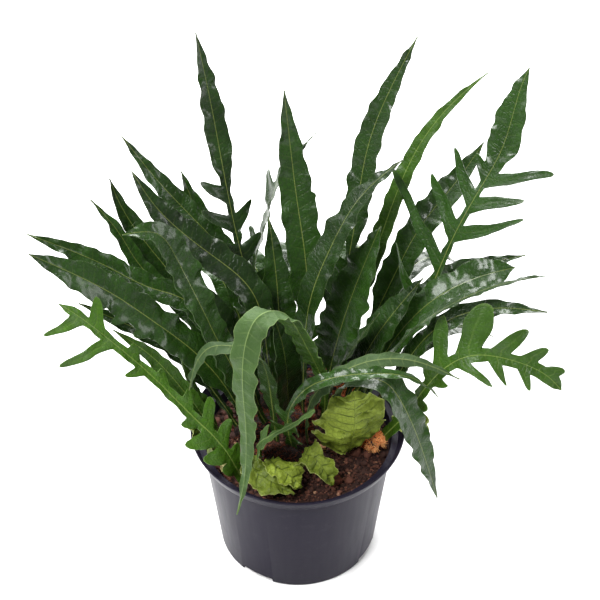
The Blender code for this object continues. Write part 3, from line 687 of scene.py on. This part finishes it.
def plain_half(design, place):
    """Half width of the blade without its lobes."""
    wing = design["wing"]
    half = wing + (design["base"] - wing) * np.clip(1 - place / ROOT_PART, 0, None)
    rise = np.clip((place - design["bare"]) / RISE_PART, 0, 1)
    half = half + (design["width"] / 2 - half) * rise**2 * (3 - 2 * rise)
    past = np.clip((place - design["taper"]) / (1 - design["taper"]), 0, 1)
    return np.maximum(half * (1 - past**TIP_POWER), TIP_HALF)


def lobed_half(design, lobes, place, length):
    """Half width of one side with its lobes."""
    half = plain_half(design, place)
    for centre, reach, *own_base in lobes:
        base = own_base[0] if own_base else LOBE_HALF_BASE
        fall = np.abs(place - centre) * length / base
        half = np.maximum(half, design["wing"] + (reach - design["wing"]) * (1 - fall**LOBE_POWER))
    return half


def grow(name, design, surfaces, slot, ripple, pucker, crinkle):
    """A grid bent along the midrib and drawn out into its lobes, then rippled and thickened.

    ripple   height of the waves along the margins, in millimetres
    pucker   how far the leaf bulges between its side veins
    crinkle  how far the whole blade is crumpled
    """
    chance = random.Random(name)
    (x, y), *rest = design["points"]
    points = [(x, y, seat_height(x, y) + ROOT_TILT * design["base"]), *rest]
    length = spine_of(points, [0])[1]
    # Rows lie closer where the outline runs outwards, along the sides of the lobes.
    fine = np.linspace(0, 1, 1200)
    widths = [lobed_half(design, design[side], fine, length) for side in ("left", "right")]
    growth = np.hypot(length / 1199, 0.5 * sum(np.abs(np.diff(half)) for half in widths))
    run = np.concatenate([[0], np.cumsum(growth)])
    rows = int(np.clip(run[-1] / ROW_STEP, 40, 280))
    places = np.interp(np.linspace(0, run[-1], rows), run, fine)
    centre, direction, side, face = frame_along(points, design["roll"], places)
    mm_along = places * length
    plain = plain_half(design, places)
    ends = np.clip(np.minimum(places / 0.08, (1 - places) / 0.05), 0, 1)
    columns = 2 * COLUMNS + 1
    spots = np.zeros((rows, columns, 3))
    facts = np.zeros((rows, columns, 3))
    vein_at = np.zeros((rows, columns))
    tone = chance.random() * TONES
    twist = TWIST * np.sin(mm_along / chance.uniform(16, 26) + chance.uniform(0, 6)) * ends
    for sign, key in ((-1, "left"), (1, "right")):
        lobes = sorted(design[key])
        half = lobed_half(design, lobes, places, length)
        slow, quick = chance.uniform(3.4, 4.8), chance.uniform(1.9, 2.6)
        phase, second = chance.uniform(0, 6), chance.uniform(0, 6)
        wobble = 0.06 * np.sin(mm_along / slow + phase) + 0.035 * np.sin(mm_along / quick + second)
        half = np.maximum(half * (1 + wobble * ends * np.minimum(1, plain / half)), 0.3)
        marks = [0.0, *(lobe[0] for lobe in lobes), 1.0]
        counts = [max(1, round((b - a) * length / VEIN_SPACING)) for a, b in zip(marks, marks[1:])]
        vein = np.interp(places, marks, np.concatenate([[0], np.cumsum(counts)]))
        bends = np.interp(places, marks, [chance.uniform(-1, 1) * LOBE_BEND for _ in marks])
        curls = np.interp(places, marks, [chance.uniform(-0.6, 1) * LOBE_CURL for _ in marks])
        turn = np.interp(places, marks, [chance.uniform(0, 6) for _ in marks])
        wave = np.sin(mm_along / (0.85 * slow) + phase)
        wave += 0.6 * np.sin(mm_along / quick + 2 * second)
        surges = [noise.noise(Vector((mm / SURGE_LENGTH, 7 * sign, 30 * tone))) for mm in mm_along]
        surge = np.clip(0.8 + 1.3 * np.array(surges), 0.15, None)
        inner = np.minimum(RIB_HALF, 0.2 * half), np.minimum(SHOULDER_HALF, 0.4 * half)
        for step in range(COLUMNS + 1):
            if step < 3:
                away = (0 * half, *inner)[step]
            else:
                away = inner[1] + (half - inner[1]) * (step - 2) / (COLUMNS - 2)
            edge = away / half
            beyond = np.maximum(0, away - plain)
            slant = 0.05 * away * (beyond == 0)
            lift = FOLD * away + sign * twist * away + bends * beyond**2
            wavy = LOBE_WAVE * np.minimum(1, beyond / WAVE_FULL)
            lift += wavy * np.sin(beyond / WAVE_UP + turn)
            ahead = LOBE_LEAN * beyond + curls * beyond**2
            ahead += wavy * np.sin(beyond / WAVE_ALONG + 2 * turn)
            lift += ripple * surge * wave * edge**2 * ends
            bulge = np.cos(math.tau * (vein - slant)) * np.sin(math.pi * edge)
            lift -= pucker * surge * bulge * ends
            column = COLUMNS + sign * step
            spot = centre + sign * away[:, None] * side + ahead[:, None] * direction
            spots[:, column] = spot + lift[:, None] * face
            facts[:, column] = np.stack([away, edge, np.full(rows, tone)], axis=1)
            vein_at[:, column] = vein - slant
    rib = np.interp(places, (0, RIB_THINS, 1), RIB_THICKNESS)
    shape = bmesh.new()
    bmesh.ops.create_grid(shape, x_segments=2 * COLUMNS, y_segments=rows - 1, size=1.0)
    shape.verts.ensure_lookup_table()
    facts_layer = shape.verts.layers.float_vector.new("leaf")
    blade_layer = shape.loops.layers.uv.new("blade")
    weights = shape.verts.layers.deform.verify()
    for vert in shape.verts:
        row, column = divmod(vert.index, columns)
        spot = Vector(spots[row, column])
        crumple = noise.fractal(spot / CRUMPLE_SIZE, 0.7, 2.2, 3)
        spot += Vector(face[row]) * crinkle * facts[row, column, 1] ** 0.5 * crumple
        vert.co = spot * MM
        vert[facts_layer] = facts[row, column]
        part = (1, 0.75, 0)[min(2, abs(column - COLUMNS))]
        vert[weights][0] = (BLADE + (rib[row] - BLADE) * part) / THICKEST
        for loop in vert.link_loops:
            loop[blade_layer].uv = places[row], vein_at[row, column]
    piece = add_piece(name + "_leaf", shape, surfaces, name, slot)
    piece.vertex_groups.new(name="thickness")
    shell = piece.modifiers.new("thickness", "SOLIDIFY")
    shell.thickness = THICKEST * MM
    shell.offset = BELOW
    shell.vertex_group = "thickness"
    shell.material_offset = 1
    apply_modifiers(piece, sharp=48)
    piece.vertex_groups.clear()


OLD_FRONDS = {
    # The tall fronds at the back.
    "tall_frond_1": frond([(-18, 34), (-30, 48, 190), (-44, 68, 240), (-56, 90, 300),
        (-65, 110, 350), (-74, 120, 402)], 19, [(0.34, 18), (0.42, 23), (0.5, 26), (0.58, 22)],
        [(0.32, 18), (0.41, 20), (0.5, 19)], bare=0.58, taper=0.76),
    "tall_frond_2": frond([(2, 38), (7, 48, 180), (6, 60, 238), (0, 78, 278), (-6, 94, 326),
        (-10, 100, 366)], 27, [], [(0.2, 16), (0.66, 15)], bare=0.26, taper=0.6),
    "tall_frond_3": frond([(16, 48), (30, 58, 180), (40, 72, 232), (46, 84, 274), (55, 100, 325),
        (87, 118, 400)], 21, [(0.24, 17), (0.36, 19)], [(0.26, 17), (0.4, 17)], bare=0.4,
        taper=0.68, roll=(-15, -15)),
    "tall_frond_5": frond([(44, 28), (72, 26, 178), (98, 29, 230), (113, 38, 271), (133, 52, 311),
        (149, 64, 342), (158, 75, 380), (164, 80, 397)], 25,
        [(0.34, 44), (0.48, 58), (0.57, 38, 8), (0.66, 32), (0.73, 16)],
        [(0.57, 45), (0.65, 36), (0.72, 44)], bare=0.7, taper=0.84, roll=(-20, -25)),
    "tall_frond_6": frond([(40, 44), (60, 62, 175), (78, 76, 215), (96, 90, 248), (122, 104, 280),
        (142, 112, 312)], 24, bare=0.28, taper=0.72, roll=(-20, -20)),
    "tall_frond_7": frond([(4, 10), (5, 14, 175), (10, 24, 230), (26, 40, 270), (46, 52, 304),
        (76, 60, 332)], 25, bare=0.22, taper=0.64),
    "tall_frond_8": frond([(-10, 52), (-22, 62, 170), (-34, 74, 216), (-26, 86, 250),
        (-14, 96, 290), (14, 98, 330)], 15, [(0.5, 24), (0.72, 20)], bare=0.3, taper=0.6,
        roll=(40, 60)),
    "tall_frond_9": frond([(-9, 26), (-13, 38, 165), (-16, 54, 218), (-22, 72, 271)], 26, bare=0.2,
        taper=0.5),
    # The left-hand fronds.
    "left_frond_1": frond([(-22, 32), (-32, 48, 180), (-50, 64, 230), (-75, 76, 260),
        (-106, 88, 293), (-131, 94, 330)], 20, bare=0.24, taper=0.66, roll=(10, 20)),
    "left_frond_2": frond([(-20, 14), (-24, 22, 175), (-34, 36, 225), (-62, 46, 252),
        (-101, 54, 288), (-121, 58, 324)], 24, bare=0.24, taper=0.68, roll=(20, 30)),
    "left_frond_3": frond([(-38, 30), (-60, 48, 165), (-86, 66, 198), (-114, 80, 232),
        (-134, 88, 264), (-143, 90, 294)], 19, bare=0.26, taper=0.66, roll=(20, 30)),
    "left_frond_4": frond([(-42, 18), (-68, 34, 175), (-98, 50, 210), (-122, 58, 236),
        (-135, 62, 262), (-155, 66, 292)], 14, bare=0.26, taper=0.66, roll=(20, 20)),
    "left_frond_5": frond([(-26, 0), (-40, -6, 165), (-56, -6, 205), (-72, 0, 246), (-88, 8, 284),
        (-100, 4, 308), (-122, -8, 316)], 26, bare=0.14, taper=0.76, roll=(40, 30)),
    "left_frond_6": frond([(-26, 46), (-42, 74, 180), (-64, 96, 226), (-80, 104, 256),
        (-90, 108, 288)], 21, bare=0.26, taper=0.66, roll=(10, 10)),
    "left_frond_7": frond([(-44, 6), (-62, 20, 180), (-84, 28, 224), (-110, 24, 241),
        (-142, 19, 267), (-192, 8, 304)], 19, bare=0.22, taper=0.7, roll=(20, 40)),
    "left_frond_8": frond([(-36, -10), (-54, -10, 168), (-78, -8, 206), (-106, -10, 238),
        (-136, -12, 268), (-186, -22, 310)], 25, [(0.58, 18), (0.66, 19), (0.74, 17)], bare=0.2,
        taper=0.76, roll=(40, 45)),
    "left_frond_9": frond([(-48, -4), (-72, 4, 165), (-96, 8, 196), (-124, 4, 220),
        (-160, -2, 248)], 16, bare=0.22, taper=0.6, roll=(20, 30)),
    # The right-hand fronds.
    "right_frond_1": frond([(52, 33), (72, 40, 170), (94, 43, 212), (113, 46, 234), (140, 49, 243),
        (172, 48, 253)], 16, bare=0.26, taper=0.7, roll=(-10, -30)),
    "right_frond_2": frond([(46, 6), (62, 6, 179), (84, 8, 222), (106, 12, 244), (134, 14, 260),
        (158, 10, 272)], 25, bare=0.3, taper=0.88, roll=(-20, -40)),
    "right_frond_3": frond([(44, -10), (58, -14, 178), (78, -15, 224), (102, -16, 252),
        (140, -15, 275), (178, -16, 286)], 15, bare=0.26, taper=0.6, roll=(10, 20)),
    "right_frond_4": frond([(56, -3), (76, -9, 182), (96, -13, 226), (118, -12, 245),
        (148, -12, 252), (180, -18, 253)], 16, bare=0.32, taper=0.7, roll=(-20, -30)),
    "front_frond_2": frond([(-16, -20), (-20, -28, 180), (-28, -38, 228), (-44, -44, 243),
        (-62, -46, 244), (-72, -50, 232), (-78, -54, 210)], 17, bare=0.18, taper=0.6,
        roll=(150, 180)),
    "front_frond_3": frond([(27, -12), (30, -12, 152), (37, -25, 191), (47, -40, 208),
        (62, -46, 211), (76, -53, 196), (92, -60, 156), (106, -66, 108)], 22, bare=0.2, taper=0.66,
        roll=(0, -20)),
    "front_frond_4": frond([(8, -22), (9, -36, 176), (24, -43, 210), (52, -43, 228),
        (84, -47, 232), (116, -54, 221)], 15, bare=0.18, taper=0.5, roll=(170, 150)),
    "front_frond_5": frond([(-4, -27), (-6, -46, 180), (12, -54, 216), (46, -56, 228),
        (82, -54, 222), (102, -52, 202)], 11, [(0.12, 15, 8), (0.23, 13, 7)],
        [(0.08, 14, 8), (0.18, 15, 8)], bare=0.34, roll=(-75, 10), base=5),
    # The inner fronds that fill the crown.
    "inner_frond_1": frond([(34, 4), (44, 2, 170), (62, 4, 216), (92, 10, 262)], 27, bare=0.24,
        taper=0.6, roll=(-20, -20)),
    "inner_frond_2": frond([(-8, -2), (-8, -6, 170), (-12, 0, 208), (-20, 6, 236)], 30, bare=0.2),
    "inner_frond_3": frond([(18, 2), (29, -1, 170), (43, -4, 208), (60, -4, 240)], 26, bare=0.24),
    "inner_frond_4": frond([(22, 28), (30, 32, 175), (44, 42, 226), (62, 54, 276)], 37, bare=0.16,
        taper=0.6, roll=(-10, -10)),
    "inner_frond_5": frond([(-30, 12), (-40, 16, 165), (-55, 20, 206), (-78, 28, 246)], 28,
        bare=0.2, roll=(20, 20)),
    # The fronds on the far side, which arch low.
    "back_frond_1": frond([(-34, 48), (-50, 72, 180), (-78, 104, 206), (-118, 134, 178)], 20,
        bare=0.3, taper=0.6),
    "back_frond_2": frond([(-16, 58), (-26, 86, 184), (-44, 120, 200), (-66, 160, 160)], 21,
        bare=0.3, taper=0.6),
    "back_frond_3": frond([(2, 58), (2, 90, 186), (-4, 128, 198), (-10, 172, 150)], 22, bare=0.3,
        taper=0.6),
    "back_frond_4": frond([(20, 58), (32, 88, 184), (48, 122, 200), (64, 162, 158)], 21, bare=0.3,
        taper=0.6),
    "back_frond_5": frond([(48, 48), (70, 74, 182), (100, 98, 208), (138, 122, 184)], 20, bare=0.3,
        taper=0.6),
    "back_frond_6": frond([(58, 24), (86, 36, 156), (120, 50, 178), (158, 64, 156)], 18, bare=0.3,
        taper=0.6),
}

for name, design in OLD_FRONDS.items():
    grow(name, design, [old_upper, old_under], "old_frond", ripple=1.2, pucker=0.2, crinkle=1.3)

# --- The young fronds ---
# This year's fronds are thinner, softer and a fresher green, and most are deeply cut. They grow
# from the same rhizomes, outside the old ones.

# Young leaf: yellow-green, with a thin satin cuticle and pale ribs; its underside is paler still.
young_upper = leaf_surface(
    "fresh_leaf_upper", ("#1d3606", "#436b10"), "#8a9d4e", "#64803a", 0.38, 0.8, 0.65, 0.1,
    specular_ior_level=0.3, coat_weight=0.15, coat_roughness=0.25, coat_ior=1.45, ior=1.45,
)
young_under = leaf_surface(
    "fresh_leaf_underside", ("#30471f", "#48632d"), "#84985a", "#8fa366", 0.5, 0.5, 0.6, 0.1,
    specular_ior_level=0.3, ior=1.4,
)

YOUNG_FRONDS = {
    "tall_frond_4": frond([(28, 47), (46, 58, 190), (62, 70, 245), (86, 84, 318), (112, 90, 360),
        (137, 92, 386)], 14, taper=0.62, roll=(-30, -35)),
    "right_frond_5": frond([(68, -16), (84, -27, 162), (94, -34, 192), (108, -38, 218),
        (125, -41, 232), (149, -44, 232), (177, -52, 224), (189, -58, 214)], 14,
        [(0.43, 14, 6), (0.51, 32, 8), (0.63, 34, 9), (0.74, 24, 7), (0.84, 17, 6), (0.93, 12, 5)],
        [(0.3, 14, 7), (0.46, 13, 5), (0.6, 27, 6), (0.73, 20, 5), (0.84, 17, 5)], bare=0.9,
        taper=0.94, roll=(-45, -60), base=5, wing=5),
    "front_frond_1": frond([(20, -4), (20, -14, 176), (6, -34, 236), (-10, -48, 278),
        (-28, -68, 290), (-37, -82, 262), (-36, -90, 210), (-38, -99, 165), (-44, -105, 134)], 22,
        bare=0.16, roll=(180, 180)),
    "front_frond_6": frond([(-28, -33), (-30, -44, 142), (-20, -55, 164), (-3, -62, 184),
        (12, -66, 202)], 8, [(0.2, 12, 9), (0.36, 9, 6)], [(0.15, 12, 9), (0.29, 13, 8)],
        bare=0.88, taper=0.94, roll=(150, 150), base=6),
    "young_frond_1": frond([(-43, -45), (-60, -47, 150), (-77, -44, 172), (-107, -38, 210),
        (-133, -38, 243), (-153, -39, 267), (-166, -40, 280)], 10, [(0.08, 12, 8), (0.16, 20, 9),
        (0.25, 22, 9), (0.34, 12, 6), (0.62, 14, 5), (0.78, 41, 6), (0.92, 27, 6)],
        [(0.11, 12, 8), (0.2, 18, 8), (0.29, 20, 7), (0.4, 12), (0.53, 9), (0.67, 9), (0.85, 19)],
        bare=0.88, taper=0.92, roll=(40, 30), base=5, wing=4),
    "young_frond_2": frond([(-60, -20), (-70, -22, 145), (-88, -20, 180), (-108, -20, 212),
        (-134, -20, 238)], 14, bare=0.26, taper=0.6, roll=(40, 40)),
    "young_frond_3": frond([(-62, 2), (-74, -4, 150), (-83, -10, 178), (-87, -10, 202)], 12,
        bare=0.26, taper=0.6, roll=(30, 30)),
}

skins = [young_upper, young_under]
for name, design in YOUNG_FRONDS.items():
    grow(name, design, skins, "young_frond", ripple=0.9, pucker=0.18, crinkle=1.6)

# --- The base leaves ---
# Short shield leaves that clasp the rhizomes and catch litter. They are thin, crinkled and pale,
# with scalloped curling margins.

# Base leaf: soft, thin, satin yellow-green with pale margins; its veins are painted shade in the
# creases.
base_surface = leaf_surface(
    "crinkled_base_leaf", ("#2c3c0a", "#a5b843"), "#34430f", "#c0c67e", 0.45, 0.9, 0.55, 0.85,
    specular_ior_level=0.35, ior=1.4,
)

BASE_LEAVES = {
    "base_leaf_front": frond([(-36, -38), (-33, -48, 119), (-22, -59, 120), (-3, -69, 114)], 22,
        [(0.45, 14, 7), (0.72, 12, 7)], [(0.33, 13, 7), (0.6, 13, 7)], bare=0.05, taper=0.6,
        base=5),
    "base_leaf_middle": frond([(0, -42), (7, -45, 132), (16, -52, 132), (25, -60, 115)], 19,
        [(0.42, 13, 7), (0.7, 13, 7)], [(0.35, 12, 7), (0.62, 13, 7)], bare=0.08, taper=0.78,
        base=5),
    "base_leaf_crossing": frond([(-22, -39), (-18, -47, 124), (-9, -56, 125), (4, -63, 117)], 15,
        [(0.45, 13, 6), (0.72, 12, 6)], [(0.35, 10, 6), (0.62, 11, 6)], bare=0.05, taper=0.8,
        base=4),
    "base_leaf_left": frond([(-60, -28), (-67, -34, 127), (-75, -36, 142), (-82, -37, 154)], 13,
        [(0.45, 10, 7), (0.7, 10, 6)], [(0.5, 10, 7), (0.75, 10, 6)], bare=0.05, taper=0.8,
        roll=(20, 20), base=3),
    "base_leaf_right": frond([(40, -18), (41, -25, 126), (43, -29, 150), (42, -25, 181)], 46,
        [(0.22, 20, 9), (0.4, 28, 9), (0.58, 29, 9), (0.78, 24, 9)],
        [(0.4, 30, 9), (0.58, 32, 9), (0.78, 25, 9)], bare=0.1, taper=0.8, base=8),
    "base_leaf_outer": frond([(69, -1), (80, -9, 135), (91, -20, 143), (99, -33, 134)], 12,
        [(0.5, 9, 6), (0.75, 9, 6)], [(0.55, 13, 6), (0.75, 15, 6)], taper=0.85, roll=(-20, -30),
        base=4),
}

for name, design in BASE_LEAVES.items():
    grow(name, design, [base_surface], "base_leaf", ripple=1.6, pucker=1.6, crinkle=7.0)

# --- The bark chips ---
# Bits of pine bark from the potting mix that lie loose on the soil: two are split along their
# grain, and one is a rounded reddish clod.

BARK = {  # where it lies, its size, its turn in degrees, and its colour
    "bark_chip_1": ((16, -12), (13, 5, 3), 8, "#c98e63"),
    "bark_chip_2": ((-50, -24), (11, 4, 3), -8, "#6e4529"),
    "bark_chip_3": ((29, -48), (9, 8, 6), 35, "#6b3522"),
}
for name, (where, size, turn, shade) in BARK.items():
    # Pine bark: matt, split along its fibres, darker in the cracks.
    bark, node, spot = new_surface("pine_bark_" + name[-1], roughness=0.8, ior=1.45)
    turn = math.radians(turn)
    lengthwise = node("Mapping", {"Vector": spot, "Rotation": (0, 0, -turn), "Scale": (0.25, 1, 1)})
    fibre = node("TexNoise", {"Vector": lengthwise, "Scale": grains(1.67), "Detail": 5.0})
    dark = tuple(0.35 * part for part in linear(shade)[:3]) + (1.0,)
    colour = node("ValToRGB", {0: fibre}, stops=((0.32, dark), (0.62, linear(shade))))
    finish_surface(bark, colour, fibre, strength=0.7, depth=0.4)
    shape = bmesh.new()
    bmesh.ops.create_cube(shape, size=MM)
    bmesh.ops.scale(shape, vec=size, verts=shape.verts)
    round_edges(shape, shape.edges[:], 0.24 * min(size))
    bmesh.ops.subdivide_edges(shape, edges=shape.edges[:], cuts=3, use_grid_fill=True)
    height = CLEAR_OF_SOIL + size[2] / 2
    place = Matrix.Translation(Vector((*where, height)) * MM) @ Matrix.Rotation(turn, 4, "Z")
    bmesh.ops.transform(shape, matrix=place, verts=shape.verts)
    for vert in shape.verts:
        vert.co += noise.noise_vector(vert.co * 260) * 0.16 * min(size) * MM
    add_piece("split_" + name, shape, [bark], name, "pine_bark", sharp=35)

# --- The studio ---
# A pale seamless floor, soft white surroundings, a soft key light over the front, a broad light
# behind, and two upright side lights that draw the soft bands on the pot.

FLOOR_RADIUS = 12.0  # metres
SURROUNDINGS = 0.3
SOFT_LIGHTS = (
    # name, where it stands, where it points, width and height, power
    ("key_light", (-0.8, -0.8, 1.8), (0, 0, 0.2), (0.8, 0.8), 54.0),
    ("back_light", (0.0, 1.5, 1.5), (0, 0, 0.2), (2.3, 0.8), 112.0),
    ("left_side_light", (-1.3, 0.4, 0.9), (0, 0, 0.15), (0.4, 1.2), 7.0),
    ("right_side_light", (1.4, -0.1, 0.6), (0, 0, 0.1), (0.3, 1.2), 10.0),
)

# Matt white paper: an even pale ground that takes a soft shadow. Its tooth is drawn coarse.
paper, node, spot = new_surface("matt_white_paper", roughness=0.9)
tooth = node("TexNoise", {"Vector": spot, "Scale": grains(2.5), "Detail": 2.0})
shade = node("Mix", {0: tooth, 6: linear("#f3f3f3"), 7: linear("#f7f7f7")}, data_type="RGBA", out=2)
finish_surface(paper, shade)
shape = bmesh.new()
bmesh.ops.create_circle(shape, cap_ends=True, segments=64, radius=FLOOR_RADIUS)
floor = new_shape("floor", shape, [paper])
floor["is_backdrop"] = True

world = bpy.data.worlds.new("studio")
world.use_nodes = True
surroundings = world.node_tree.nodes["Background"].inputs
surroundings["Color"].default_value = (1, 1, 1, 1)
surroundings["Strength"].default_value = SURROUNDINGS
bpy.context.scene.world = world
for name, stand, target, (width, height), power in SOFT_LIGHTS:
    lamp = bpy.data.lights.new(name, "AREA")
    lamp.shape = "RECTANGLE"
    lamp.size, lamp.size_y = width, height
    lamp.energy = power
    light = new_object(name, lamp)
    light.location = stand
    light.rotation_euler = (Vector(target) - Vector(stand)).to_track_quat("-Z", "Y").to_euler()

lens = bpy.data.cameras.new("camera")
lens.lens = 85
lens.sensor_width = 36
camera = new_object("camera", lens)
camera.location = (0.0018, -0.788, 0.9225)
camera.rotation_euler = (math.radians(49.5), 0, 0)
bpy.context.scene.camera = camera
bpy.context.scene.view_settings.view_transform = "Standard"

looks_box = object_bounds()
boxes = {
    "cad": [[float(n) for n in corner] for corner in cad_box],
    "looks": [[float(n) for n in corner] for corner in looks_box],
}
